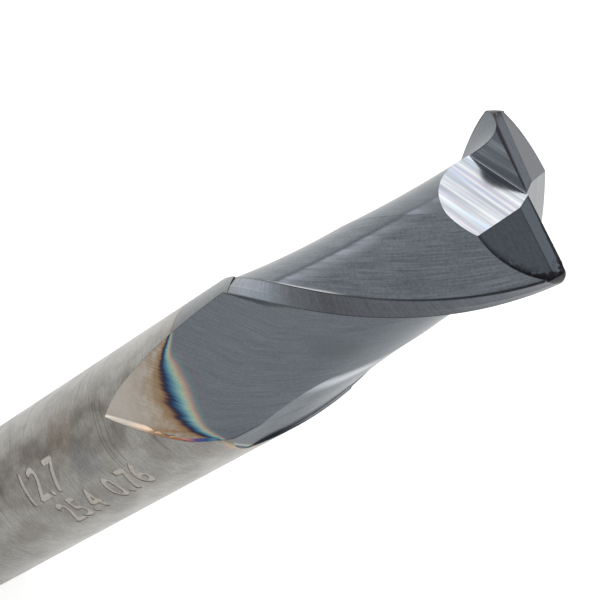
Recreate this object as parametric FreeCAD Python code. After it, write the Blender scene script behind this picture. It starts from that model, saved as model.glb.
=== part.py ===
import FreeCAD, Part
import math
import os
from FreeCAD import Placement, Rotation, Vector

os.makedirs("parts", exist_ok=True)

# Two-flute corner radius end mill, ground from one rod of solid carbide.
# The tool stands on its shank end, with its axis on Z and its teeth at the top.
# It is made as the grinding shop makes it: a round blank, then one pass of a wheel
# for each flute, each clearance, each land, each end tooth and each gash.

# Blank
diameter = 12.7
overall_length = 76.2
shank_chamfer = 0.5
corner_radius = 0.762

# Teeth
tooth_count = 2
helix_angle = 30.0
length_of_cut = 25.4

# Flutes: a flat wheel, swivelled from the axis, that stops short of the length of cut
wheel_diameter = 127.0
wheel_width = 12.7
core_diameter = 8.54
flute_swivel = 35.8
flute_lead = 1.97
flute_stop = 1.7

# Clearances: a shallower pass of a narrower face, behind each land
clearance_depth = 1.58
clearance_swivel = 27.1
clearance_width = 11.5
clearance_lead = 3.4
clearance_stop = 7.0
land_angle = 16.0

# Lands: relief on the outside diameter, a little longer than the length of cut
primary_width = 0.75
primary_relief = 4.0
secondary_relief = 15.5
relief_overrun = 0.4

# End teeth: dished edges, two end reliefs and a gash for each tooth
dish_angle = 1.7
end_primary_width = 1.2
end_primary_relief = 8.0
end_secondary_relief = 20.0
gash_angle = 35.0
gash_tilt = 26.6
gash_depth = 0.06

# How finely the ground surfaces are followed
section_pitch = 1.5
trace_count = 121
floor_count = 11
wall_count = 6
root_count = 40

# How far the cutting shapes reach past the rod
outside_margin = 1.0
lead_growth = 0.35
edge_drop = 0.005

radius = diameter / 2
turn_per_mm = math.tan(math.radians(helix_angle)) / radius
clip_radius = radius + outside_margin
tooth_step = 360.0 / tooth_count


def blend(first, last, count):
    """Evenly spaced values from first to last."""
    return [first + (last - first) * i / (count - 1) for i in range(count)]


def turned(point, angle, rise=0.0):
    """The point turned about the tool's axis, in radians, and lifted."""
    x, y, z = point
    c, s = math.cos(angle), math.sin(angle)
    return (x * c - y * s, x * s + y * c, z + rise)


def reach(point):
    """Distance of a point from the tool's axis."""
    return math.hypot(point[0], point[1])


def resampled(points, count):
    """The same line with evenly spaced points."""
    lengths = [0.0]
    for a, b in zip(points, points[1:]):
        lengths.append(lengths[-1] + math.dist(a, b))
    result = []
    k = 0
    for wanted in blend(0.0, lengths[-1], count):
        while k < len(points) - 2 and lengths[k + 1] < wanted:
            k += 1
        span = max(lengths[k + 1] - lengths[k], 1e-12)
        t = (wanted - lengths[k]) / span
        result.append(tuple(p + (q - p) * t for p, q in zip(points[k], points[k + 1])))
    return result


def crossing(inner, outer, limit):
    """The point between two others that lies at a given distance from the axis."""
    low, high = 0.0, 1.0
    for _ in range(root_count):
        t = (low + high) / 2
        middle = tuple(p + (q - p) * t for p, q in zip(inner, outer))
        if reach(middle) < limit:
            low = t
        else:
            high = t
    return middle


def spline(points):
    """A smooth edge through the points, with the same parameters in every section."""
    curve = Part.BSplineCurve()
    curve.interpolate(Points=[Vector(*p) for p in points],
                      Parameters=blend(0.0, 1.0, len(points)))
    return curve.toShape()


class WheelPass:
    """A flat-faced wheel that follows the helix down the tool and stops.

    Along is measured on the wheel's rim from its deepest point, towards the tip,
    and across is measured over its width, from the lead face (minus) to the back.
    """

    def __init__(self, core, swivel, lead, back, stop_depth):
        self.core = core
        self.sin = math.sin(math.radians(swivel))
        self.cos = math.cos(math.radians(swivel))
        self.lead = lead
        self.back = back
        self.wheel = wheel_diameter / 2
        self.stop_depth = stop_depth

    def rim(self, along, across):
        """A point of the rim, with the wheel at its stop and its middle over the X axis."""
        x = self.core + self.wheel - math.sqrt(self.wheel ** 2 - along ** 2)
        y = self.sin * along + self.cos * across
        z = self.cos * along - self.sin * across
        return (x, y, z)

    def contact(self, across):
        """Where the rim is tangent to its own path along the helix."""
        along = 0.0
        for _ in range(root_count):
            x = self.rim(along, across)[0]
            dip = math.sqrt(1 - (along / self.wheel) ** 2)
            pull = (self.sin * turn_per_mm * x + self.cos) / self.wheel
            along = -dip * turn_per_mm * self.cos * across / (pull + dip * turn_per_mm * self.sin)
        return along

    def height_at(self, along, across):
        """Height of a rim point of the stopped wheel."""
        return self.cos * along - self.sin * across

    def along_at(self, across, height):
        """Place on the stopped wheel's rim that lies at a height."""
        return (height + self.sin * across) / self.cos

    def passing(self, along, across, height):
        """A rim point as the wheel passes that height on its way down the helix."""
        passed = height - self.height_at(along, across)
        return turned(self.rim(along, across), turn_per_mm * passed, passed)

    def floor_at(self, across, height):
        """The floor's point: cut in passing, or by the wheel where it stopped."""
        along = min(self.contact(across), self.along_at(across, height))
        return self.passing(along, across, height)

    def wall(self, across, height, limit):
        """The groove's side, from its floor out to a distance from the axis."""
        stopped = self.along_at(across, height)
        first = min(self.contact(across), stopped)
        last = first - diameter
        if across > 0:
            last = min(first + diameter, stopped)
        line = [self.passing(a, across, height) for a in blend(first, last, trace_count)]
        x, y, z = line[-1]
        line.append((x + 2 * limit, y, z))
        for k in range(1, len(line)):
            if reach(line[k]) > limit:
                line[k] = crossing(line[k - 1], line[k], limit)
                return resampled(line[:k + 1], wall_count)

    def outline(self, height):
        """Lead wall, floor and back wall of the groove at a height."""
        floor = [self.floor_at(a, height) for a in blend(-self.lead, self.back, trace_count)]
        lead_limit = clip_radius + lead_growth * (math.hypot(height, outside_margin) - height)
        lead_wall = self.wall(-self.lead, height, lead_limit)
        back_wall = self.wall(self.back, height, clip_radius)
        return lead_wall[::-1], resampled(floor, floor_count), back_wall

    def edge_azimuth(self, side):
        """Azimuth at which a wall of the full groove crosses the outside diameter."""
        full = self.outline(diameter)
        wall = full[0][::-1] if side < 0 else full[2]
        for inner, outer in zip(wall, wall[1:]):
            if reach(outer) >= radius:
                x, y, _ = crossing(inner, outer, radius)
                return math.atan2(y, x) - turn_per_mm * diameter

    def last_height(self):
        """Height at which the stopped wheel's back corner is clear of the tool."""
        height = 0.0
        while reach(self.floor_at(self.back, height)) < radius + outside_margin / 2:
            height -= outside_margin / 10
        return height

    def cutter(self, side, azimuth):
        """The solid that the wheel removes, with the wall of that side at an azimuth."""
        offset = math.radians(azimuth) - self.edge_azimuth(side)
        offset -= turn_per_mm * self.stop_depth
        base = overall_length - self.stop_depth
        top = self.stop_depth + outside_margin
        bottom = self.last_height()
        count = math.ceil((top - bottom) / section_pitch)
        wires = []
        for height in blend(top, bottom, count + 1):
            lead_wall, floor, back_wall = [
                [turned(p, offset, base) for p in line] for line in self.outline(height)]
            wires.append(closed_wire(lead_wall, floor, back_wall))
        return Part.makeLoft(wires, True, False)


def closed_wire(lead_wall, floor, back_wall):
    """Three splines and the arc outside the tool that closes them."""
    start, end = lead_wall[0], back_wall[-1]
    first = math.atan2(start[1], start[0])
    sweep = (math.atan2(end[1], end[0]) - first) % (2 * math.pi)
    middle = turned((max(reach(start), reach(end)), 0.0, start[2]), first + sweep / 2)
    closing = Part.Arc(Vector(*end), Vector(*middle), Vector(*start)).toShape()
    return Part.Wire([spline(lead_wall), spline(floor), spline(back_wall), closing])


def blank():
    """The rod with its chamfered shank end and its rounded cutting corner."""
    rod = Part.makeCylinder(radius, overall_length)
    for edge in rod.Edges:
        if len(edge.Vertexes) == 1 and edge.CenterOfMass.z < overall_length / 2:
            rod = rod.makeChamfer(shank_chamfer, [edge])
            break
    for edge in rod.Edges:
        if edge.isClosed() and edge.CenterOfMass.z > overall_length - corner_radius / 2:
            return rod.makeFillet(corner_radius, [edge])


def fall(angle):
    """Direction that trails a tooth's edge and drops inwards at a relief angle."""
    return Vector(-math.sin(math.radians(angle)), -math.cos(math.radians(angle)), 0)


def land_cutter():
    """The two reliefs on a tooth's outside, twisted along the helix."""
    edge = Vector(radius - edge_drop, 0, 0)
    ahead = edge - fall(primary_relief) * outside_margin
    middle = edge + fall(primary_relief) * primary_width
    end = middle + fall(secondary_relief) * (radius / 2)
    profile = [ahead, middle, end,
               end + Vector(2 * outside_margin, -outside_margin, 0),
               ahead + Vector(2 * outside_margin, 0, 0)]
    bottom = overall_length - length_of_cut - relief_overrun
    top = overall_length + outside_margin
    wires = []
    for z in blend(bottom, top, 2 + int((top - bottom) / section_pitch)):
        twist = math.degrees(turn_per_mm * (z - overall_length))
        turn = Placement(Vector(0, 0, z), Rotation(Vector(0, 0, 1), twist))
        wires.append(Part.makePolygon([turn.multVec(p) for p in profile + profile[:1]]))
    return Part.makeLoft(wires, True, False)


def end_relief_cutter():
    """Everything above a tooth's dished end edge and its two end reliefs."""
    first_drop = end_primary_width * math.tan(math.radians(end_primary_relief))
    last_run = diameter - end_primary_width
    last_drop = first_drop + last_run * math.tan(math.radians(end_secondary_relief))
    profile = [Vector(-diameter, 0, 0),
               Vector(-diameter, -end_primary_width, -first_drop),
               Vector(-diameter, -diameter, -last_drop),
               Vector(-diameter, -diameter, radius),
               Vector(-diameter, 0, radius)]
    face = Part.Face(Part.makePolygon(profile + profile[:1]))
    wedge = face.extrude(Vector(2 * diameter, 0, 0))
    wedge.rotate(Vector(radius - corner_radius, 0, 0), Vector(0, 1, 0), -dish_angle)
    wedge.translate(Vector(0, 0, overall_length))
    return wedge


def gash_cutter():
    """The notch in front of the opposite tooth's end edge."""
    centre_drop = (radius - corner_radius) * math.tan(math.radians(dish_angle)) + gash_depth
    slope = math.tan(math.radians(gash_angle))
    tilt = math.tan(math.radians(gash_tilt))
    start = Vector(radius / 2, 0, overall_length - centre_drop + slope * radius / 2)
    profile = [start,
               start + Vector(0, 0, radius),
               start + Vector(0, -diameter, radius),
               start + Vector(0, -diameter, -diameter * tilt)]
    face = Part.Face(Part.makePolygon(profile + profile[:1]))
    return face.extrude(Vector(-diameter, 0, -diameter * slope))


flute = WheelPass(core_diameter / 2, flute_swivel, flute_lead, wheel_width - flute_lead,
                  length_of_cut - flute_stop)
clearance = WheelPass(radius - clearance_depth, clearance_swivel, clearance_lead,
                      clearance_width - clearance_lead, length_of_cut - clearance_stop)

cutters = [flute.cutter(-1, 0.0),
           clearance.cutter(1, -land_angle),
           land_cutter(),
           end_relief_cutter(),
           gash_cutter()]

tool = blank()
for cutter in cutters:
    for tooth in range(tooth_count):
        copy = cutter.copy()
        copy.rotate(Vector(0, 0, 0), Vector(0, 0, 1), tooth * tooth_step)
        tool = tool.cut(copy)

tool = tool.removeSplitter()
tool = tool.Solids[0]
print("solid", tool.isValid(), "volume", round(tool.Volume, 2), "faces", len(tool.Faces))
tool.exportStep("parts/end_mill.step")
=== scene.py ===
# %% [markdown]
# # A corner radius end mill
#
# The real tool is one rod of tungsten carbide. A grinding wheel cuts two flutes, two
# clearances, two lands and the end teeth into it, and the cutting end is then coated.
# This lesson makes it the same way in Blender: a round blank, and one cutter for each pass
# of the wheel. The CAD solid is already in the frame.

# %% Load the frame
import math
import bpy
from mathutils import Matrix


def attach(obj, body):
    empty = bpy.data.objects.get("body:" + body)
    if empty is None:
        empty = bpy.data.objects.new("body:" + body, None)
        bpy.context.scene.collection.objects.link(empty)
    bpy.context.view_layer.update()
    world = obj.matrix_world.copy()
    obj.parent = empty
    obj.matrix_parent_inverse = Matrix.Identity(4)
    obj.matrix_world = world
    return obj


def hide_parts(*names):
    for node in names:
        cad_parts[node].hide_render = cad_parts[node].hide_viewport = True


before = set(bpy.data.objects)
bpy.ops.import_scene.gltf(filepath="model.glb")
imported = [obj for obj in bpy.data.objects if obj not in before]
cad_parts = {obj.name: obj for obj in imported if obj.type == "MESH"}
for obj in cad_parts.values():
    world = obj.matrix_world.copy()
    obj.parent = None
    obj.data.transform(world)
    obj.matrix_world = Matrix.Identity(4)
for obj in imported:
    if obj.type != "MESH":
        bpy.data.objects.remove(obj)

from types import SimpleNamespace

import bmesh
import bpy
from mathutils import Vector

for name in ("Cube", "Light", "Camera"):
    if name in bpy.data.objects:
        bpy.data.objects.remove(bpy.data.objects[name])
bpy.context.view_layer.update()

# %% [markdown]
# ## Sizes
#
# All lengths are in metres, because the frame is. They are the tool's own sizes, and the
# sizes of the grinding wheel that made its grooves. The wheel is swivelled a little more
# than the helix, and stops short, so its round shape is left at the end of each flute.

# %% Sizes of the tool and of the wheel
mm = 0.001
diameter = 12.7 * mm
overall_length = 76.2 * mm
shank_chamfer = 0.5 * mm
corner_radius = 0.762 * mm
length_of_cut = 25.4 * mm
tooth_count = 2
helix_angle = math.radians(30.0)
wheel_diameter = 127.0 * mm
wheel_width = 12.7 * mm
core_diameter = 8.54 * mm
flute_lead = 1.97 * mm
clearance_depth = 1.58 * mm
clearance_width = 11.5 * mm
clearance_lead = 3.4 * mm
flute_swivel = math.radians(35.8)
clearance_swivel = math.radians(27.1)
flute_stop = 1.7 * mm
clearance_stop = 7.0 * mm
land_angle = math.radians(16.0)
land_width = 0.75 * mm
land_relief = math.radians(4.0)
heel_relief = math.radians(15.5)
end_dish = math.radians(1.7)
end_land_width = 1.2 * mm
end_primary = math.radians(8.0)
end_secondary = math.radians(20.0)
gash_angle = math.radians(35.0)
gash_tilt = math.radians(26.6)

radius = diameter / 2
twist = math.tan(helix_angle) / radius
print("One turn of the helix takes", round(2 * math.pi / twist / mm, 1), "mm")

# %% [markdown]
# ## Formulas that become nodes
#
# A groove follows a rule, so Geometry Nodes can work it out. Wiring hundreds of Math nodes
# by hand is slow, so a small class stands for a socket, and plus, minus, times and divide
# make the nodes. The same formulas also run on plain numbers, which lets the script
# measure a groove before the tree exists.

# %% Sockets that do arithmetic
tree = None


def put(value, slot):
    """Links a socket to a slot, or writes a plain value into it."""
    if isinstance(value, Field):
        tree.links.new(value.socket, slot)
    else:
        slot.default_value = value


def node(kind, *values, **settings):
    """Makes a node; None leaves a slot as it is."""
    made = tree.nodes.new(kind)
    for name, value in settings.items():
        setattr(made, name, value)
    for slot, value in zip(made.inputs, values):
        if value is not None:
            put(value, slot)
    return made


def maths(operation, *values):
    return Field(node("ShaderNodeMath", *values, operation=operation).outputs[0])


class Field:
    """A socket that can be added, taken away, multiplied and divided like a number."""

    def __init__(self, socket):
        self.socket = socket

    def __add__(self, other):
        return maths("ADD", self, other)

    def __sub__(self, other):
        return maths("SUBTRACT", self, other)

    def __mul__(self, other):
        return maths("MULTIPLY", self, other)

    def __truediv__(self, other):
        return maths("DIVIDE", self, other)

    def __radd__(self, other):
        return maths("ADD", other, self)

    def __rsub__(self, other):
        return maths("SUBTRACT", other, self)

    def __rmul__(self, other):
        return maths("MULTIPLY", other, self)

    def __rtruediv__(self, other):
        return maths("DIVIDE", other, self)

    def __neg__(self):
        return maths("MULTIPLY", self, -1.0)


# %% Functions for numbers and for sockets
def either(operation, plain):
    """A function that makes a node for sockets, and just works for plain numbers."""
    def run(*values):
        if any(isinstance(v, Field) for v in values):
            return maths(operation, *values)
        return plain(*values)
    return run


sine = either("SINE", math.sin)
cosine = either("COSINE", math.cos)
root = either("SQRT", math.sqrt)
least = either("MINIMUM", min)
most = either("MAXIMUM", max)
bearing = either("ARCTAN2", math.atan2)


def part_of(value, start, count):
    """How far a column is through one stretch of a section, from 0 to 1."""
    return least(most((value - start) / count, 0.0), 1.0)


print("cosine of 60 degrees as a plain number:", round(cosine(math.radians(60)), 3))

# %% [markdown]
# ## One pass of the wheel
#
# The wheel's rim is a circle, tilted by the swivel angle. Each point of the rim cuts the
# floor at the one place where it runs along its own path down the helix. Below that place
# the floor is simply the rim as it stood when the wheel stopped. The two walls are the
# tracks of the wheel's two corners.

# %% The wheel's rim and its path
def rim(wheel, along, across):
    """A point of the tilted rim, seen from where the wheel stands."""
    dip = wheel.radius - root(wheel.radius * wheel.radius - along * along)
    x = wheel.core + dip
    y = wheel.sin * along + wheel.cos * across
    z = wheel.cos * along - wheel.sin * across
    return x, y, z


def contact(wheel, across):
    """Where the rim is tangent to its own path; six rounds settle it."""
    along = 0.0
    for _ in range(6):
        tilt = root(1.0 - along * along / (wheel.radius * wheel.radius))
        x = wheel.core + wheel.radius * (1.0 - tilt)
        pull = (wheel.sin * twist * x + wheel.cos) / wheel.radius
        along = -1.0 * tilt * twist * wheel.cos * across / (pull + tilt * twist * wheel.sin)
    return along


def turned(x, y, angle):
    c, s = cosine(angle), sine(angle)
    return x * c - y * s, x * s + y * c


# %% A point of the groove's section
lead_draft = 0.3


def groove_point(wheel, height, floor, lead, back):
    """Floor goes from the lead corner (0) to the back corner (1); lead and back go out."""
    across = floor * (wheel.lead + wheel.back) - wheel.lead
    stopped = (height + wheel.sin * across) / wheel.cos
    along = least(contact(wheel, across), stopped)
    reach = back * wheel.back_wall
    traced = least(reach, stopped - along)
    along = along + traced - lead * (wheel.lead_wall + lead_draft * least(height, 0.0))
    x, y, z = rim(wheel, along, across)
    passed = height - z
    x, y = turned(x + (reach - traced), y, passed * twist)
    return x, y


def wall_azimuth(wheel, side):
    """Azimuth where a wall crosses the tool's outside, with the groove fully formed."""
    height = diameter
    low, high = 0.0, 1.0
    for _ in range(40):
        t = (low + high) / 2
        x, y = groove_point(wheel, height, 1.0 if side > 0 else 0.0,
                            0.0 if side > 0 else t, t if side > 0 else 0.0)
        if math.hypot(x, y) < radius:
            low = t
        else:
            high = t
    return math.atan2(y, x) - twist * height


# %% The two grooves' wheels
def wheel(core, swivel, lead, width, lead_wall, back_wall):
    """A wheel's core distance, swivel, share of width each side, and lengths of wall."""
    return SimpleNamespace(core=core, sin=math.sin(swivel), cos=math.cos(swivel), lead=lead,
                           back=width - lead, radius=wheel_diameter / 2, lead_wall=lead_wall,
                           back_wall=back_wall)


flute_wheel = wheel(core_diameter / 2, flute_swivel, flute_lead, wheel_width,
                    lead_wall=12.0 * mm, back_wall=6.0 * mm)
flute_wheel.stop = overall_length - length_of_cut + flute_stop
flute_wheel.turn = -wall_azimuth(flute_wheel, -1)
clearance_wheel = wheel(radius - clearance_depth, clearance_swivel, clearance_lead,
                        clearance_width, lead_wall=12.5 * mm, back_wall=5.0 * mm)
clearance_wheel.stop = overall_length - length_of_cut + clearance_stop
clearance_wheel.turn = -land_angle - wall_azimuth(clearance_wheel, 1)
print("Flute turned", round(math.degrees(flute_wheel.turn), 1),
      "clearance turned", round(math.degrees(clearance_wheel.turn), 1), "degrees")

# %% [markdown]
# ## Finishes
#
# Two finishes meet on the real tool: bare ground carbide on the shank, and a thin hard
# coating on the cutting end. Each could be a picture wrapped round the tool, but a picture
# stretches on faces that turn like these. So each finish is worked out from the place on
# the tool and from its grinding lines, with the same Math helper as the shapes.

# %% Colours
finishes = {}


def new_finish(name):
    """Starts a material and makes its tree the one that the helpers fill."""
    global tree
    made = bpy.data.materials.new(name)
    made.use_nodes = True
    tree = made.node_tree
    return made


def shown(red, green, blue):
    """A colour as it shows on a screen, 0 to 255, turned into linear light."""
    return tuple((v / 255 / 12.92) if v < 11 else ((v / 255 + 0.055) / 1.055) ** 2.4
                 for v in (red, green, blue)) + (1.0,)


BARE, COATED = (170, 164, 156), (105, 111, 117)
print("Bare carbide in linear light:", [round(v, 2) for v in shown(*BARE)[:3]])


# %% Patterns
def vector(x, y, z):
    return Field(node("ShaderNodeCombineXYZ", x, y, z).outputs[0])


def noise(where, scale, detail=2.0, distortion=0.0):
    made = node("ShaderNodeTexNoise", where, None, scale, detail)
    made.inputs["Distortion"].default_value = distortion
    return Field(made.outputs["Fac"])


def fade(value, low, high):
    """0 below low, 1 above high, smooth in between."""
    made = node("ShaderNodeMapRange", value, low, high, interpolation_type="SMOOTHSTEP")
    return Field(made.outputs["Result"])


def line(value, middle, half_width):
    """1 on a line and 0 a half width away from it."""
    return 1.0 - fade(maths("ABSOLUTE", value - middle), 0.0, half_width)


# %% Ways to mix colours
def blend(factor, first, second, kind="MIX"):
    made = node("ShaderNodeMix", data_type="RGBA", blend_type=kind)
    for value, slot in ((factor, 0), (first, 6), (second, 7)):
        put(value, made.inputs[slot])
    return Field(made.outputs[2])


def tint(colour, strength, tinge):
    """Moves a colour towards another, all the way at a strength of 1. Stains, painted shade
    and painted highlights all use it.
    """
    return blend(strength, colour, shown(*tinge))


def grain_shade(colour, strength, pattern, dark, light):
    """Darkens and lightens a colour by a fine pattern, between two greys."""
    grey = blend(fade(pattern, 0.3, 0.7), shown(dark, dark, dark), shown(light, light, light))
    return blend(strength, colour, grey, "OVERLAY")


def ramp(value, low, high, stops):
    """Colours at places between low and high."""
    made = node("ShaderNodeValToRGB", (value - low) / (high - low))
    points = made.color_ramp.elements
    while len(points) < len(stops):
        points.new(1.0)
    for point, (where, colour) in zip(points, stops):
        point.position = (where - low) / (high - low)
        point.color = shown(*colour)
    return Field(made.outputs["Color"])


# %% Where a point lies on the tool
def spot():
    """Place on the tool in millimetres: x, y, z and distance from the axis."""
    place = Field(node("ShaderNodeTexCoord").outputs["Object"])
    x, y, z = (Field(s) / mm for s in node("ShaderNodeSeparateXYZ", place).outputs)
    return x, y, z, root(x * x + y * y)


def ground_lines():
    """The grain attribute in millimetres: along the cut and across it."""
    stored = Field(node("ShaderNodeAttribute", attribute_name="grain").outputs["Vector"])
    along, across, _ = node("ShaderNodeSeparateXYZ", stored).outputs
    return Field(along) / mm, Field(across) / mm


def near_edge(width):
    """1 on a sharp edge and 0 away from it: there a rounded edge would turn the surface."""
    rounded = Field(node("ShaderNodeBevel", 2.0 * width * mm, samples=8).outputs[0])
    straight = Field(node("ShaderNodeNewGeometry").outputs["Normal"])
    match = node("ShaderNodeVectorMath", rounded, straight, operation="DOT_PRODUCT")
    return 1.0 - fade(Field(match.outputs["Value"]), 0.93, 0.998)


def around(x, y, middle):
    """Angle from a line along the tool, in radians; both teeth count the same."""
    turn = bearing(y, x) - math.radians(middle) + math.pi / 2
    return maths("FLOORED_MODULO", turn, math.pi) - math.pi / 2


# %% The metal shader
def dress(colour, height, depth, roughness):
    """Connects a colour, a relief height and a roughness to the metal shader."""
    metal = tree.nodes["Principled BSDF"]
    metal.inputs["Metallic"].default_value = 1.0
    bump = node("ShaderNodeBump")
    bump.inputs["Distance"].default_value = depth
    bump.inputs["Strength"].default_value = 1.0
    put(height, bump.inputs["Height"])
    put(colour, metal.inputs["Base Color"])
    put(roughness, metal.inputs["Roughness"])
    put(Field(bump.outputs[0]), metal.inputs["Normal"])


# %% [markdown]
# ### The edge of the coating
#
# On the real tool the coating thins out to nothing just below the flutes. There it is so
# thin that it shows the colours of a film: brown, navy, blue, cyan, yellow and pink. They
# could be painted on, but the bands follow one edge that dips into the grooves. So one
# formula gives the distance past that edge, and a ramp over it gives the bands.

# %% Where the coating ends
COATING_HEIGHT, COATING_SLANT = 42.75, 0.4
FILM = [(-2.8, BARE), (-1.7, (166, 156, 142)), (-1.15, (146, 122, 98)),
        (-0.92, (106, 84, 70)), (-0.76, (62, 50, 58)), (-0.62, (42, 50, 76)),
        (-0.47, (52, 84, 112)), (-0.30, (84, 124, 140)), (-0.12, (126, 160, 160)),
        (0.02, (152, 168, 146)), (0.15, (170, 155, 138)), (0.28, (152, 130, 128)),
        (0.40, (118, 124, 128)), (0.55, (102, 117, 121)), (0.75, (109, 110, 117)),
        (1.0, COATED)]


def coating_edge(x, y, z, r, ragged):
    """Distance past the edge of the coating, in widths of its coloured zone."""
    slant = (x * -0.766 - y * 0.643) / radius * mm * COATING_SLANT
    deep = radius / mm - r
    sunk = maths("SMOOTH_MIN", deep * 2.0, 1.45, 0.5)
    width = 0.5 + 1.2 * deep
    past = (z - (COATING_HEIGHT + slant - sunk)) / width
    return past + ragged * (0.25 + 0.55 * fade(-past, 0.0, 1.0))


print("The film passes through", len(FILM), "colours")

# %% [markdown]
# ### The bare shank
#
# The shank is ground round, which leaves fine rings, and stains and scratches lie on it.
# Noise squeezed along the tool gives the rings, and each stain is a soft ball round its
# own place, so that it stays there whatever the rest does.

# %% Stains and marks on the shank
SHANK_STAINS = [((1.2, -6.2, 28.4), 2.6, 0.35, (112, 117, 124)),
                ((-2.2, -6.0, 26.5), 3.0, 0.30, (122, 108, 92)),
                ((5.6, -2.9, 42.0), 1.1, 0.65, (178, 154, 124))]
SCRATCH_HEIGHTS = (31.4, 31.8, 32.5)
RING_MARK, SCRATCH = (72, 69, 66), (66, 62, 58)


def stained(colour, here, cloud):
    for middle, reach, strength, tinge in SHANK_STAINS:
        far = node("ShaderNodeVectorMath", here, middle, operation="DISTANCE")
        near = 1.0 - fade(Field(far.outputs["Value"]) + 2.0 * (cloud - 0.5), 0.3 * reach, reach)
        colour = tint(colour, near * strength, tinge)
    return colour


def ringed(colour, x, y, z, past, cloud, grit):
    """Faint dark rings on the bare metal, and scratches on its front."""
    rings = noise(vector(x * 0.07, y * 0.07, z * 2.4 + cloud * 1.6), 1.0, 1.0, 0.2)
    patch = fade(noise(vector(x, y, z * 0.4), 0.3, 1.0), 0.47, 0.6)
    rings = fade(rings, 0.63, 0.72) * patch * (1.0 - fade(past, -0.6, 0.0))
    colour = tint(colour, rings * 0.5, RING_MARK)
    front = 1.0 - fade(maths("ABSOLUTE", bearing(y, x) + 1.55), 0.35, 0.6)
    for height in SCRATCH_HEIGHTS:
        scratch = line(z + 0.5 * (cloud - 0.5) + 0.2 * bearing(y, x), height, 0.09)
        colour = tint(colour, scratch * front * (0.3 + 0.5 * grit), SCRATCH)
    return colour


# %% The bare shank and the outside of the cutting end
# The third colour on this line is a painted dark reflection down the shank's front.
SHANK_LIGHT, SHANK_DARK, SHANK_DARK_REFLECTION = (156, 154, 149), (140, 137, 133), (98, 92, 84)
# The second colour on this line is painted shade along sharp edges.
HAZE, SHANK_EDGE_SHADE, DARK_CORNER = (105, 109, 112), (74, 70, 66), (62, 58, 62)
DULLED = [(-1.5, (255, 255, 255)), (-0.6, (250, 244, 236)), (-0.25, (206, 190, 172)),
          (0.05, (178, 176, 174)), (0.4, (200, 208, 216)), (1.2, (196, 206, 216))]


def shank_finish():
    made = new_finish("ground_carbide")
    x, y, z, r = spot()
    here = vector(x, y, z)
    fine = noise(vector(x * 1.1, y * 1.1, z * 9.0), 1.0, 4.0)
    grit = noise(here, 6.0, 3.0)
    cloud = noise(vector(x, y, z * 0.6), 0.5, 3.0)
    past = coating_edge(x, y, z, r, 0.0)
    bare = blend(fade(cloud, 0.35, 0.68), shown(*SHANK_LIGHT), shown(*SHANK_DARK))
    # A band down the front of the shank, round an azimuth of -105 degrees, is painted darker and
    # browner: a painted dark reflection, mottled by the cloud noise.
    dark_reflection = fade(bearing(y, x), -2.24, -1.92) * (1.0 - fade(bearing(y, x), -1.75, -1.0))
    dark_reflection = dark_reflection * (0.55 + 0.9 * fade(cloud, 0.3, 0.7))
    bare = stained(tint(bare, dark_reflection * 0.58, SHANK_DARK_REFLECTION), here, cloud)
    colour = blend(1.0, bare, ramp(past, -1.5, 1.5, DULLED), "MULTIPLY")
    colour = tint(colour, fade(past, -0.1, 1.0), HAZE)
    colour = grain_shade(colour, 0.26, 0.6 * fine + 0.4 * grit, 30, 228)
    colour = ringed(colour, x, y, z, past, cloud, grit)
    # Painted shade along sharp edges.
    colour = tint(colour, near_edge(0.06) * 0.5, SHANK_EDGE_SHADE)
    colour = tint(colour, fade(z + 0.6 * (grit - 0.5), 75.5, 75.8) * 0.7, DARK_CORNER)
    dress(colour, fine, 0.003 * mm, 0.26 + 0.10 * cloud)
    return made


finishes["shank"] = shank_finish()
print("The shank's finish has", len(tree.nodes), "nodes")

# %% [markdown]
# ### The flutes and the clearances
#
# The wheel leaves streaks that run along the tracks of its rim. A plain noise would lie
# across them, so each groove stores how far a point is along and across the cut, and the
# noise is stretched along it. Both grooves take one function, with their own strengths.

# %% Film and wall of a ground groove
# Film colours on the run-out's wall, painted much lighter as a painted highlight.
RUN_OUT_FILM_AND_HIGHLIGHT = [(34.8, (236, 230, 224)), (36.5, (255, 240, 226)), (38.0, (255, 212, 168)),
                (39.0, (246, 178, 124)), (39.8, (190, 124, 124)), (40.5, (92, 82, 130)),
                (41.3, (54, 84, 130)), (42.0, (90, 132, 148)), (43.0, COATED)]
BROWN = (132, 108, 82)


def film(x, y, z, r, past, streak):
    """The bands of the film, with a brown haze on the bare metal before them."""
    behind = past * (0.5 + 1.2 * (radius / mm - r))
    brown = fade(behind, -7.5, -0.8) * (1.0 - fade(past, -1.15, -0.9))
    brown = brown * fade(0.5 * streak + 0.5 * noise(vector(x, y, z), 1.6, 4.0), 0.36, 0.58)
    return tint(ramp(past, -2.8, 1.0, FILM), brown * 0.75, BROWN)


def run_out_wall_film_and_highlight(colour, z, r, across):
    """The straight wall of the run-out: its film colours along the tool, painted much
    lighter as a painted highlight.
    """
    rise = 5.5 + 0.5 * fade(z, 37.0, 38.5)
    wall = fade(across - 2.6 * fade(z, 36.5, 40.0), 12.4, 12.6) * fade(r - rise, 0.0, 0.12)
    wall = wall * (1.0 - fade(z, 41.8, 42.4))
    return blend(wall, colour, ramp(z, 34.0, 43.0, RUN_OUT_FILM_AND_HIGHLIGHT))


# %% Lines of shade and light on a ground groove
SHADE_LINE, LIGHT_LINE = (62, 66, 74), (156, 162, 174)
# Both colours on this line are painted highlights: along the rim and along the heel.
RIM_LIGHT, HEEL_HIGHLIGHT = (225, 230, 236), (222, 224, 228)
# A darker patch, then painted shade along the grooves' sharp edges.
DARKER_PATCH_TONE, GROOVE_EDGE_SHADE = (70, 72, 76), (58, 56, 60)


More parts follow.
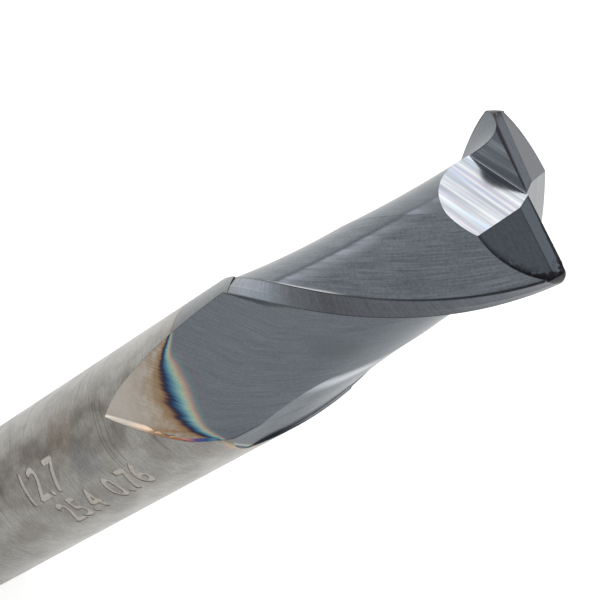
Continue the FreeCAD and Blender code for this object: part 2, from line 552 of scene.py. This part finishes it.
def shade_line(colour, x, y, z, wide, streak, start):
    """Painted reflections: a soft dark line along the tool with a bright one beside it,
    from a height upwards.
    """
    turn = around(x, y, -120.5)
    faint = fade(z, start, start + 3.0)
    weak = 1.0 - 0.6 * fade(z, 66.0, 72.0)
    # The dark line and the bright band beside it are painted reflections, not a crease.
    deep = line(turn + 0.12 * (wide - 0.5) + 0.12 * (streak - 0.5), 0.0, 0.075) * faint * weak
    bright = fade(turn, 0.0, 0.05) * (1.0 - fade(turn, 0.06, 0.30)) * faint * weak
    colour = tint(colour, deep * 0.6, SHADE_LINE)
    return tint(colour, bright * (0.3 + fade(wide, 0.35, 0.65)) * 0.6, LIGHT_LINE)


def rim_glow(z, along, across):
    """Where the groove's side and its rim catch the light."""
    side = fade(across, 11.5, 11.7) * fade(z, 44.0, 46.0)
    glow = line(across, 6.3, 1.2) * fade(along, -8.0, -4.0) * (1.0 - fade(along, -2.5, 0.0))
    return most(side * 0.55, glow * 0.6)


# A darker patch round one spot along and across the cut, its edge ragged with the streaks.
def darker_patch(along, across, streak):
    far = root((along - 4.2) * (along - 4.2) + (across - 4.4) * (across - 4.4))
    return (1.0 - fade(far, 0.8, 2.8)) * fade(streak, 0.35, 0.6)


# %% The ground flutes and clearances
def ground_finish(name, slope, contrast, line_start, edge, rim_light, tinge):
    """A surface ground by the wheel.

    slope: how far a track leans across the cut. contrast: strength of the streaks.
    line_start: height where the shade line begins, in mm. The last three arguments set the
    strengths of the painted shade on sharp edges, of the painted highlights and of the
    darker patch.
    """
    made = new_finish(name)
    x, y, z, r = spot()
    along, across = ground_lines()
    track = across - slope * along
    streak = noise(vector(track * 8.0, along * 0.35, 0.0), 1.0, 4.0)
    wide = noise(vector(track * 1.3, along * 0.14, 3.0), 1.0, 2.0)
    grit = noise(vector(x, y, z), 5.0, 3.0)
    past = coating_edge(x, y, z, r, (streak - 0.5) * 0.9 + (wide - 0.5) * 0.8)
    colour = run_out_wall_film_and_highlight(film(x, y, z, r, past, streak), z, r, across)
    contrast = contrast * (0.45 + 0.55 * fade(past, -1.0, 1.0))
    colour = grain_shade(colour, contrast, 0.5 * streak + 0.2 * wide + 0.3 * grit, 30, 228)
    colour = shade_line(colour, x, y, z, wide, streak, line_start)
    colour = tint(colour, rim_glow(z, along, across) * rim_light, RIM_LIGHT)
    colour = tint(colour, darker_patch(along, across, streak) * tinge, DARKER_PATCH_TONE)
    low = fade(across, 8.5, 9.5) * (1.0 - fade(z, 42.0, 43.0))
    # Painted shade along the groove's sharp edges, left off near the back corner below 42 mm.
    colour = tint(colour, near_edge(0.10) * (1.0 - low) * edge, GROOVE_EDGE_SHADE)
    # A painted highlight along the heel, where the land meets the clearance.
    heel_highlight = line(across, 11.5, 0.18) * fade(along, -4.0, 0.5) * (1.0 - fade(along, 3.0, 5.5))
    colour = tint(colour, heel_highlight * rim_light, HEEL_HIGHLIGHT)
    dress(colour, streak, 0.005 * mm, 0.24 + 0.10 * wide)
    return made


finishes["flute"] = ground_finish("coated_flute", slope=0.14, contrast=0.24, line_start=66.0,
                                  edge=0.7, rim_light=0.0, tinge=0.3)
finishes["clearance"] = ground_finish("coated_clearance", slope=-0.07, contrast=0.40,
                                      line_start=53.0, edge=0.5, rim_light=0.9, tinge=0.0)
print("A groove's finish has", len(tree.nodes), "nodes")

# %% [markdown]
# ### The land
#
# The land is the narrow strip behind each cutting edge, with fine marks across it. It
# turns with the helix, so it meets the light at another angle all the way up: a ramp of
# painted light and shade along the tool helps the lamps to show it, darkest as painted
# shadow on the step where the land starts. A stretched noise gives the marks.

# %% The relieved land
# Painted light and shade along the land, by height: painted shadow on the step at its start,
# lighter up to 55 mm, darker past 58 mm.
LAND_LIGHT_AND_SHADE = [(50.0, (30, 31, 34)), (50.42, (30, 31, 34)), (50.5, (118, 121, 126)),
              (52.5, (136, 143, 153)), (55.0, (132, 139, 149)), (58.0, (98, 101, 106)),
              (61.0, (83, 85, 90)), (66.0, (93, 96, 101)), (71.0, (101, 105, 111)),
              (75.0, (100, 103, 109)), (77.0, (102, 105, 111))]
# The second colour on this line is painted shade along the land's edges.
HEEL_GLINT, LAND_EDGE_SHADE = (186, 190, 198), (52, 51, 54)


def land_finish():
    made = new_finish("coated_land")
    x, y, z, _ = spot()
    along, across = ground_lines()
    chatter = noise(vector(along * 8.0 + across, across * 0.3, 0.0), 1.0, 3.0)
    grit = noise(vector(x, y, z), 4.0, 3.0)
    # The land's tone along the tool is painted light and shade.
    colour = ramp(along, 50.0, 77.0, LAND_LIGHT_AND_SHADE)
    colour = grain_shade(colour, 0.20, 0.6 * chatter + 0.4 * grit, 20, 235)
    glint = line(across, -0.75, 0.05) * 0.3 * (1.0 - fade(along, 54.0, 58.0))
    colour = tint(colour, glint, HEEL_GLINT)
    # Painted shade along the land's sharp edges.
    colour = tint(colour, near_edge(0.09) * 0.65, LAND_EDGE_SHADE)
    dress(colour, chatter, 0.003 * mm, 0.30)
    return made


finishes["land"] = land_finish()
print("The land's finish has", len(tree.nodes), "nodes")

# %% [markdown]
# ### The end faces
#
# Two flats behind each end edge give it relief. On the tooth at +X the primary flat is
# painted lighter, as a painted highlight, and on the tooth at -X the secondary is painted
# darker, as painted shade. Their edges are painted darker, as painted shade, and there are
# small chips near the outer corner. Chips could be cut into the mesh, but they are too
# small to show as a shape. A noise decides where one is, and the Bevel node keeps it on
# the sharp edge.

# %% The two end flats, with painted light and painted shade
END_DARK, END_LIGHT = (95, 102, 111), (110, 116, 124)
# Painted shade and a painted highlight on the flats, then painted shade along their border.
FAR_SECONDARY_SHADE, NEAR_PRIMARY_HIGHLIGHT, FLATS_LINE_SHADE = (84, 84, 84), (136, 144, 156), (52, 56, 62)
# The first colour on this line is painted shade along the end edges.
END_EDGE_SHADE, END_BAND_DARK, CHIPPED = (46, 46, 50), (54, 51, 56), (32, 32, 36)
FLATS_BORDER = -1.2


def end_flats(x, across, streak, grit):
    colour = blend(fade(0.4 * streak + 0.6 * grit, 0.3, 0.7), shown(*END_DARK),
                   shown(*END_LIGHT))
    primary = fade(across, -1.25, -1.15)
    # Painted shade on the secondary flat of the tooth at -X, and a painted highlight on the
    # primary flat of the tooth at +X.
    colour = tint(colour, fade(-x, 0.0, 1.5) * (1.0 - primary) * 0.5, FAR_SECONDARY_SHADE)
    colour = tint(colour, fade(x, -0.5, 0.5) * primary * 0.6, NEAR_PRIMARY_HIGHLIGHT)
    # Painted shade along the border between the two flats.
    return tint(colour, line(across, FLATS_BORDER, 0.09) * 0.6, FLATS_LINE_SHADE)


def end_edge_dark_band(x, r, along, across, chip):
    """A dark band along the end edge, and on the corner of the tooth at +X."""
    back = -1.0 * across
    reach = maths("ABSOLUTE", along)
    widening = (0.02 + 0.04 * fade(x, 0.0, 1.0)) * reach
    band = 1.0 - fade(back - widening - 0.2 * (chip - 0.5), 0.0, 0.12)
    return most(band, fade(r + 0.5 * (chip - 0.5), 5.55, 5.7) * fade(x, 0.0, 1.0))


# %% The end faces
def end_finish():
    made = new_finish("coated_end")
    x, y, z, r = spot()
    along, across = ground_lines()
    streak = noise(vector(across * 5.0, along * 0.5, 0.0), 1.0, 3.0)
    grit = noise(vector(x, y, z), 6.0, 3.0)
    chip = noise(vector(x, y, z), 2.4, 3.0)
    colour = end_flats(x, across, streak, grit)
    # Painted shade along the end face's sharp edges.
    colour = tint(colour, near_edge(0.22) * 0.75, END_EDGE_SHADE)
    # Darker in a band along the end edge, and on the outer corner of the tooth at +X.
    colour = tint(colour, end_edge_dark_band(x, r, along, across, chip) * 0.8, END_BAND_DARK)
    chipped = fade(r - 0.5 * fade(-x, 0.0, 1.0), 4.6, 5.4) * fade(chip, 0.38, 0.50)
    colour = tint(colour, near_edge(0.8) * chipped * 0.9, CHIPPED)
    dress(colour, streak, 0.003 * mm, 0.30)
    return made


finishes["end"] = end_finish()
print("The end's finish has", len(tree.nodes), "nodes")

# %% [markdown]
# ### The gash
#
# The gash is the notch that opens the flute at the tip, ground by the sharp corner of a
# wheel. It has a smooth floor that mirrors the room with a trace of film colour, and a
# steep wall. One finish takes both, because their streaks run along the root between them.

# %% The gash
GASH_FLOOR, GASH_WALL = ((88, 94, 104), (128, 131, 134)), ((92, 97, 105), (132, 137, 144))
GASH_TINTS = [(0.3, (224, 238, 255)), (0.42, (250, 252, 255)), (0.5, (255, 252, 244)),
              (0.56, (250, 236, 238)), (0.62, (232, 242, 255)), (0.7, (214, 232, 250))]
# A painted highlight on the gash wall, then painted shade along the gash's sharp edges.
GASH_WALL_HIGHLIGHT, GASH_EDGE_SHADE = (196, 200, 206), (48, 49, 54)


def gash_finish():
    made = new_finish("coated_gash")
    x, _, z, _ = spot()
    along, across = ground_lines()
    above = z - overall_length / mm + maths("ABSOLUTE", x) * math.tan(gash_angle) + 0.23
    wall = fade(across, -0.02, -0.005)
    lane = across * 1.1 * (1.0 - wall) + (above + 5.0) * wall
    streak = noise(vector(lane * 2.2, along * 0.10, 0.0), 1.0, 4.0)
    hue = noise(vector(lane * 1.7, along * 0.05, 7.0), 1.0, 2.0)
    floor_tone = blend(fade(streak, 0.28, 0.72), *(shown(*c) for c in GASH_FLOOR))
    floor_tone = blend(1.0, floor_tone, ramp(hue, 0.3, 0.7, GASH_TINTS), "MULTIPLY")
    wall_tone = blend(fade(streak, 0.45, 0.72), *(shown(*c) for c in GASH_WALL))
    colour = blend(wall, floor_tone, wall_tone)
    # A painted highlight: a light line along the wall, where the height above the gash's slope is
    # nil.
    colour = tint(colour, wall * line(above, 0.0, 0.10), GASH_WALL_HIGHLIGHT)
    # Painted shade along the gash's sharp edges.
    colour = tint(colour, near_edge(0.12) * fade(above, 0.2, 0.5) * 0.75, GASH_EDGE_SHADE)
    dress(colour, streak, 0.003 * mm, 0.16 + 0.10 * wall)
    return made


finishes["gash"] = gash_finish()
print("The gash's finish has", len(tree.nodes), "nodes")

# %% [markdown]
# ### The etched figures
#
# Etching leaves a pale, matt floor, and its edge looks darker. The floor lies 0.045 mm
# under the shank's surface, so the distance from the axis tells the floor from the edge.

# %% The etched size figures
ETCHED_DARK, ETCHED_LIGHT = (164, 159, 152), (188, 183, 175)
ETCHED_EDGE = (104, 98, 92)


def etched_finish():
    made = new_finish("etched_carbide")
    x, y, z, r = spot()
    grit = noise(vector(x, y, z), 8.0, 3.0)
    colour = blend(fade(grit, 0.3, 0.7), shown(*ETCHED_DARK), shown(*ETCHED_LIGHT))
    colour = tint(colour, fade(r, 6.312, 6.325) * 0.6, ETCHED_EDGE)
    dress(colour, grit, 0.006 * mm, 0.45)
    return made


finishes["etched"] = etched_finish()
print("Finishes:", ", ".join(f.name for f in finishes.values()))

# %% [markdown]
# ## The tree
#
# Every cutter, and the blank itself, is the same thing: a tube with closed ends whose
# points are put in place by a formula of their row and column. So one helper makes the
# tube, and the formula is all that differs.

# %% Start the tree, with the sizes as its inputs
tree = bpy.data.node_groups.new("ground_end_mill", "GeometryNodeTree")
tree.interface.new_socket("Geometry", in_out="OUTPUT", socket_type="NodeSocketGeometry")
inputs = {}
values = {
    "Diameter": diameter, "Overall Length": overall_length, "Corner Radius": corner_radius,
    "Shank Chamfer": shank_chamfer, "Length Of Cut": length_of_cut,
    "Twist Per Metre": twist, "Core Diameter": core_diameter,
    "Clearance Depth": clearance_depth, "Land Width": land_width, "Land Relief": land_relief,
    "Heel Relief": heel_relief, "End Dish": end_dish, "End Land Width": end_land_width,
    "End Relief": end_primary, "End Clearance": end_secondary,
    "Gash Angle": gash_angle, "Gash Tilt": gash_tilt}
for name in values:
    inputs[name] = tree.interface.new_socket(name, in_out="INPUT", socket_type="NodeSocketFloat")
group_in = tree.nodes.new("NodeGroupInput")
group_out = tree.nodes.new("NodeGroupOutput")


def size(name):
    return Field(group_in.outputs[name])


print("The tree has", len(inputs), "named sizes")


# %% A closed tube with rows and columns
def tube(columns, rows):
    """A closed tube, and each point's row and column as sockets."""
    made = node("GeometryNodeMeshCylinder", columns, rows, 1, 1.0, 1.0)
    index = Field(node("GeometryNodeInputIndex").outputs[0])
    row = maths("FLOOR", (index + 0.5) / columns)
    column = index - row * columns
    return made.outputs["Mesh"], row, column


def place(mesh, x, y, z, grain, material, flip=False):
    """Puts the points in place and remembers where the grinding lines run."""
    there = node("ShaderNodeCombineXYZ", x, y, z)
    moved = node("GeometryNodeSetPosition", Field(mesh), None, Field(there.outputs[0]))
    lines = node("ShaderNodeCombineXYZ", *grain)
    lines = node("GeometryNodeFieldOnDomain", Field(lines.outputs[0]),
                 data_type="FLOAT_VECTOR", domain="POINT")
    kept = node("GeometryNodeStoreNamedAttribute", Field(moved.outputs[0]), None, "grain",
                Field(lines.outputs[0]), data_type="FLOAT_VECTOR", domain="CORNER")
    painted = node("GeometryNodeSetMaterial", Field(kept.outputs[0]), None, material)
    if flip:
        painted = node("GeometryNodeFlipFaces", Field(painted.outputs[0]))
    return Field(painted.outputs[0])


# %% [markdown]
# ## The blank
#
# The real tool starts as a round rod with a chamfer at the shank end. A spun outline would
# give it too, but the tube helper lets the rows lie closer together where the grooves will
# be. The quarter-round corner at the cutting end is on the rod from the start, because the
# teeth keep only what the grooves leave of it.

# %% The blank's formula
def blank(material):
    columns, shank_rows, cut_rows, corner_rows = 240, 24, 130, 12
    last = 1 + shank_rows + cut_rows + corner_rows
    mesh, row, column = tube(columns, last)
    row = last - row
    chamfer = part_of(row, 0, 1)
    shank = part_of(row, 1, shank_rows)
    cut = part_of(row, 1 + shank_rows, cut_rows)
    corner = part_of(row, 1 + shank_rows + cut_rows, corner_rows) * (math.pi / 2)
    full = size("Diameter") / 2
    rounding = size("Corner Radius")
    split = size("Overall Length") - 1.75 * size("Length Of Cut")
    r = full - size("Shank Chamfer") * (1.0 - chamfer) - rounding * (1.0 - cosine(corner))
    z = (size("Shank Chamfer") * chamfer + (split - size("Shank Chamfer")) * shank
         + (size("Overall Length") - rounding - split) * cut + rounding * sine(corner))
    angle = column * (2 * math.pi / columns)
    return place(mesh, r * cosine(angle), r * sine(angle), z,
                 (angle * full, z, r), material)


body = blank(finishes["shank"])
print("The blank takes", len(tree.nodes), "nodes")

# %% [markdown]
# ## The grooves
#
# Two flutes carry the chips away, and two clearances take off the metal behind the lands.
# A sweep of one outline along a helix would miss the round run-out that the wheel leaves,
# so each row of this cutter is a section of the wheel's own path at that height.

# %% A groove's formula
def groove(wheel, material):
    """Floor and walls come from the wheel, and an arc outside the tool closes them."""
    wall, floor, closing, rows = 20, 72, 24, 150
    past_tip, below_stop = 1.0 * mm, 21.0 * mm
    columns = 2 * wall + floor + closing
    mesh, row, column = tube(columns, rows)
    top = overall_length - wheel.stop + past_tip
    height = top - row / rows * (top + below_stop)
    lead = 1.0 - part_of(column, 0, wall)
    across = part_of(column, wall, floor)
    back = part_of(column, wall + floor, wall)
    outer = part_of(column, 2 * wall + floor, closing)
    x, y = groove_point(wheel, height, across, lead, back)
    start = groove_point(wheel, height, 1.0, 0.0, 1.0)
    end = groove_point(wheel, height, 0.0, 1.0, 0.0)
    sweep = maths("FLOORED_MODULO", bearing(start[1], start[0]) - bearing(end[1], end[0]),
                  2 * math.pi)
    angle = bearing(start[1], start[0]) - sweep * outer
    r = (root(start[0] * start[0] + start[1] * start[1]) * (1.0 - outer)
         + root(end[0] * end[0] + end[1] * end[1]) * outer)
    outside = maths("GREATER_THAN", outer, 0.0)
    x = x * (1.0 - outside) + r * cosine(angle) * outside
    y = y * (1.0 - outside) + r * sine(angle) * outside
    x, y = turned(x, y, wheel.turn - twist * (overall_length - wheel.stop))
    grain = across * (wheel.lead + wheel.back) + back * wheel.back_wall - lead * wheel.lead_wall
    return place(mesh, x, y, height + wheel.stop, (height, grain, 0.0), material, flip=True)


passes = [groove(flute_wheel, finishes["flute"]), groove(clearance_wheel, finishes["clearance"])]
print("With both grooves the tree has", len(tree.nodes), "nodes")

# %% [markdown]
# ## Lands and end teeth
#
# These are prisms: a flat outline carried along the tool. The land's outline turns with
# the helix. The end relief is tilted, which dishes the end edges, and the gash slopes
# down towards the flute.

# %% A prism's outline as a formula
def outline(points, column, each):
    """Walks round the points, with the given number of columns to each side."""
    x, y = points[0]
    for k in range(len(points)):
        following = points[(k + 1) % len(points)]
        step = part_of(column, k * each, each)
        x = x + step * (following[0] - points[k][0])
        y = y + step * (following[1] - points[k][1])
    return x, y


# %% The land's cutter
def land(material):
    """Takes off what lies outside the land's two reliefs, from just ahead of the edge."""
    each, rows = 6, 130
    mesh, row, column = tube(5 * each, rows)
    edge = (size("Diameter") / 2 - 0.005 * mm, 0.0)
    first, second = size("Land Relief"), size("Heel Relief")
    ahead = (edge[0] + sine(first) * mm, cosine(first) * mm)
    middle = (edge[0] - sine(first) * size("Land Width"), -cosine(first) * size("Land Width"))
    far = (middle[0] - sine(second) * (radius / 2), middle[1] - cosine(second) * (radius / 2))
    outer = (far[0] + 2.0 * mm, far[1] - 1.0 * mm)
    corner = (ahead[0] + 2.0 * mm, ahead[1])
    x, y = outline([ahead, middle, far, outer, corner], column, each)
    bottom = size("Overall Length") - size("Length Of Cut") - 0.4 * mm
    top = size("Overall Length") + 1.0 * mm
    z = top - (top - bottom) * row / rows
    grain = (z, y, 0.0)
    x, y = turned(x, y, (z - size("Overall Length")) * size("Twist Per Metre"))
    return place(mesh, x, y, z, grain, material)


passes.append(land(finishes["land"]))
print("With the land the tree has", len(tree.nodes), "nodes")


# %% The cutters of the end teeth
def end_relief(material):
    """Two flats behind an end edge. The lap keeps a thin skin from standing on the axis."""
    mesh, row, column = tube(5, 1)
    first = size("End Land Width") * maths("TANGENT", size("End Relief"))
    second = (size("Diameter") - size("End Land Width")) * maths("TANGENT", size("End Clearance"))
    across = size("Diameter")
    lap = 0.01 * mm
    y, z = outline([(lap, 0.0), (-size("End Land Width"), -first), (-across, -first - second),
                    (-across, across), (lap, across)], column, 1)
    x = across * (1.0 - 2.0 * row)
    pivot = size("Diameter") / 2 - size("Corner Radius")
    z = z + size("Overall Length") + (x - pivot) * maths("TANGENT", size("End Dish"))
    return place(mesh, x, y, z, (x, y, 0.0), material, flip=True)


def gash(material):
    """A notch that slopes down from the axis towards the flute."""
    mesh, row, column = tube(4, 1)
    across = size("Diameter")
    y, z = outline([(0.0, 0.0), (0.0, across), (-across, across),
                    (-across, -across * maths("TANGENT", size("Gash Tilt")))], column, 1)
    x = across / 4 - row * across
    drop = (across / 2 - size("Corner Radius")) * maths("TANGENT", size("End Dish")) + 0.06 * mm
    z = z + size("Overall Length") - drop + x * maths("TANGENT", size("Gash Angle"))
    return place(mesh, x, y, z, (x, y, 0.0), material)


passes.append(end_relief(finishes["end"]))
passes.append(gash(finishes["gash"]))
print("With the end teeth the tree has", len(tree.nodes), "nodes")

# %% [markdown]
# ## Size figures
#
# The shank carries its sizes as shallow etched figures: the diameter, and lower down the
# length of cut and the corner radius, in millimetres. The text is filled, given a depth,
# and wrapped round the shank by one more formula. It is then cut out like the rest.

# %% Figures wrapped round the shank
def figures(text, height, start, baseline, material):
    """Reads towards the cutting end, with its baseline at an azimuth of the shank."""
    depth, above, narrow, capital = 0.045 * mm, 0.3 * mm, 0.8, 0.729
    written = node("GeometryNodeStringToCurves", text, height / capital)
    written.font = bpy.data.fonts.load("<builtin>")
    real = node("GeometryNodeRealizeInstances", Field(written.outputs[0]))
    coarse = node("GeometryNodeSetSplineResolution", Field(real.outputs[0]), None, 4)
    filled = node("GeometryNodeFillCurve", Field(coarse.outputs[0]))
    flat = node("GeometryNodeSubdivideMesh", Field(filled.outputs[0]), 2)
    raised = node("GeometryNodeExtrudeMesh", Field(flat.outputs[0]), None, None, above, False)
    under = node("GeometryNodeFlipFaces", Field(flat.outputs[0]))
    both = node("GeometryNodeJoinGeometry")
    put(Field(raised.outputs[0]), both.inputs[0])
    put(Field(under.outputs[0]), both.inputs[0])
    closed = node("GeometryNodeMergeByDistance", Field(both.outputs[0]))
    closed.inputs["Distance"].default_value = 0.0001 * mm
    spots = node("ShaderNodeSeparateXYZ", Field(node("GeometryNodeInputPosition").outputs[0]))
    x, y, z = (Field(s) for s in spots.outputs)
    full = size("Diameter") / 2
    angle = math.radians(baseline) - y / full
    r = full - depth + z
    wrapped = node("ShaderNodeCombineXYZ", r * cosine(angle), r * sine(angle), x * narrow + start)
    moved = node("GeometryNodeSetPosition", Field(closed.outputs[0]), None,
                 Field(wrapped.outputs[0]))
    return Field(node("GeometryNodeSetMaterial", Field(moved.outputs[0]), None,
                      material).outputs[0])


SIZE_MARKS = (("12.7", 3.3 * mm, 18.3 * mm, -68.0), ("25.4  0.76", 2.8 * mm, 20.9 * mm, -36.5))
STROKE_SHIFT, DEGREES_PER_SHIFT = 0.06, 12.0
marks = []
for text, height, start, baseline in SIZE_MARKS:
    for step in (-STROKE_SHIFT, STROKE_SHIFT):
        marks.append(figures(text, height, start + step * mm, baseline + step * DEGREES_PER_SHIFT,
                             finishes["etched"]))
print("Figures to cut, each line twice to thicken its strokes:", len(marks))

# %% [markdown]
# ## Cutting
#
# On the machine each pass is ground once for each tooth, with the tool turned between. A
# Boolean modifier for each pass would work too, but Mesh Boolean nodes keep it all in one
# tree. The Manifold solver is the quick one, and it asks for closed meshes, as these are.

# %% Cut each pass from the blank, once for each tooth
def cut_away(body, cutter):
    cut = node("GeometryNodeMeshBoolean", body, cutter, operation="DIFFERENCE", solver="MANIFOLD")
    return Field(cut.outputs[0])


for cutter in passes:
    for tooth in range(tooth_count):
        spun = node("GeometryNodeTransform", cutter)
        spun.inputs["Rotation"].default_value = (0, 0, tooth * 2 * math.pi / tooth_count)
        body = cut_away(body, Field(spun.outputs[0]))
for mark in marks:
    body = cut_away(body, mark)
print("Cuts:", len(passes) * tooth_count + len(marks))

# %% Shade the faces and close the tree
sharpest_smooth = math.radians(9.0)
angle = node("GeometryNodeInputMeshEdgeAngle")
sharp = maths("GREATER_THAN", Field(angle.outputs[0]), sharpest_smooth)
smooth = node("GeometryNodeSetShadeSmooth", body, sharp, False, domain="EDGE")
real = node("GeometryNodeRealizeInstances", Field(smooth.outputs[0]))
number = Field(node("GeometryNodeInputMaterialIndex").outputs[0])
painted = node("GeometryNodeSetMaterial", Field(real.outputs[0]),
               maths("LESS_THAN", number, 0.5), finishes["shank"])
put(Field(painted.outputs[0]), group_out.inputs[0])
print("The tree has", len(tree.nodes), "nodes")

# %% [markdown]
# ## The mesh
#
# The tree runs on an empty holder, through a modifier that gets the sizes by the identifiers
# of its inputs. Its result is copied into a plain mesh, because the export wants one mesh
# for each body and no modifier. Then the mesh is counted and checked: a ground tool is
# solid, so every edge has two faces, and its volume is printed.

# %% Run the tree
holder = bpy.data.objects.new("holder", bpy.data.meshes.new("holder"))
bpy.context.scene.collection.objects.link(holder)
modifier = holder.modifiers.new("grind", "NODES")
modifier.node_group = tree
for name, value in values.items():
    modifier[inputs[name].identifier] = value
graph = bpy.context.evaluated_depsgraph_get()
ground_mesh = bpy.data.meshes.new_from_object(holder.evaluated_get(graph))
mill = bpy.data.objects.new("ground_end_mill", ground_mesh)
bpy.context.scene.collection.objects.link(mill)
bpy.data.objects.remove(holder)
ground_mesh.materials.pop(index=0)
ground_mesh.calc_loop_triangles()
print(len(ground_mesh.loop_triangles), "triangles with", [m.name for m in ground_mesh.materials])

# %% Check that the mesh is closed
check = bmesh.new()
check.from_mesh(ground_mesh)
open_edges = sum(1 for edge in check.edges if len(edge.link_faces) != 2)
print("Edges without two faces:", open_edges, "- volume", round(check.calc_volume() / mm ** 3, 1),
      "cubic mm")
check.free()

# %% [markdown]
# ## The CAD frame
#
# The tool is one piece with no joint, so it rides on the root body and stands for the one
# CAD node. It was made in the frame's own place, so nothing has to be moved.

# %% Put it in the CAD frame
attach(mill, "root")
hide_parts("end_mill")

# %% [markdown]
# ## Camera
#
# The camera stands where it stood for the photograph. Its place, turn and lens were worked out
# from the straight sides of the shank, the helix and the end of the flutes. The turn is a
# quaternion, which holds a tilt in any direction without an order of angles.

# %% Camera
camera = bpy.data.objects.new("camera", bpy.data.cameras.new("camera"))
bpy.context.scene.collection.objects.link(camera)
camera.location = (0.015323, -0.097955, 0.150262)
camera.rotation_mode = "QUATERNION"
camera.rotation_quaternion = (0.762541, 0.352666, -0.158816, 0.518589)
camera.data.sensor_width = 36.0
camera.data.lens = 111.24
camera.data.clip_start = 0.005
bpy.context.scene.camera = camera
print("Camera", round(camera.location.length * 1000), "mm from the shank end")

# %% [markdown]
# ## Floor and light
#
# A pale floor and a pale sky stand all round the tool, and the metal shows them. The
# camera sees both as white, through Is Camera Ray, and the metal does through Is Glossy
# Ray. The sky is darker overhead, so that faces that point up stay dark.

# %% Floor
floor_reach = 3
floor_corners = [(x * floor_reach, y * floor_reach, 0)
                 for x, y in ((-1, -1), (1, -1), (1, 1), (-1, 1))]
floor_mesh = bpy.data.meshes.new("floor")
floor_mesh.from_pydata(floor_corners, [], [(0, 1, 2, 3)])
floor = bpy.data.objects.new("floor", floor_mesh)
bpy.context.scene.collection.objects.link(floor)
floor_mesh.materials.append(new_finish("pale_floor"))
paper = tree.nodes["Principled BSDF"]
paper.inputs["Base Color"].default_value = (0.85, 0.85, 0.84, 1)
paper.inputs["Roughness"].default_value = 0.9
paper.inputs["Emission Color"].default_value = (1, 1, 1, 1)
rays = node("ShaderNodeLightPath").outputs
here = Field(node("ShaderNodeTexCoord").outputs["Object"])
to_side, to_back, _ = (Field(s) / mm for s in node("ShaderNodeSeparateXYZ", here).outputs)
back_glow = 0.14 * fade(to_back - 0.2 * to_side, -14.0, 0.0)
seen = Field(rays["Is Camera Ray"]) * 0.5 + Field(rays["Is Glossy Ray"]) * (0.28 + back_glow)
put(seen, paper.inputs["Emission Strength"])
print("The floor is", 2 * floor_reach, "m wide")

# %% Sky
world = bpy.data.worlds.new("studio")
bpy.context.scene.world = world
world.use_nodes = True
tree = world.node_tree
direction = Field(node("ShaderNodeTexCoord").outputs["Generated"])
upward = Field(node("ShaderNodeSeparateXYZ", direction).outputs["Z"])
level = 0.95 - 0.49 * fade(upward, 0.25, 0.85)
camera_ray = Field(node("ShaderNodeLightPath").outputs["Is Camera Ray"])
put(most(level, camera_ray), tree.nodes["Background"].inputs["Strength"])
tree.nodes["Background"].inputs["Color"].default_value = (1, 1, 1, 1)
print("The sky's finish has", len(tree.nodes), "nodes")


# %% Lamps
def softbox(name, place, aim, width, height, brightness):
    """An area lamp that shows in the metal at the given brightness, where white is 1."""
    lamp = bpy.data.lights.new(name, "AREA")
    lamp.shape = "RECTANGLE"
    lamp.size, lamp.size_y = width, height
    lamp.energy = brightness * math.pi * width * height
    made = bpy.data.objects.new(name, lamp)
    made.location = place
    made.rotation_mode = "QUATERNION"
    made.rotation_quaternion = (Vector(aim) - Vector(place)).to_track_quat("-Z", "Y")
    bpy.context.scene.collection.objects.link(made)


tip = (0, 0, 0.074)
softbox("side_softbox", (-0.305, 0.0875, 0.222), tip, 0.22, 0.22, 3.8)
softbox("key_softbox", (0.30, 0.02, 0.34), tip, 0.12, 0.12, 5.0)

# %% [markdown]
# ## The view transform
#
# The scene shows its colours through the Standard view transform.

# %% The view transform, and the end
bpy.context.scene.view_settings.view_transform = "Standard"
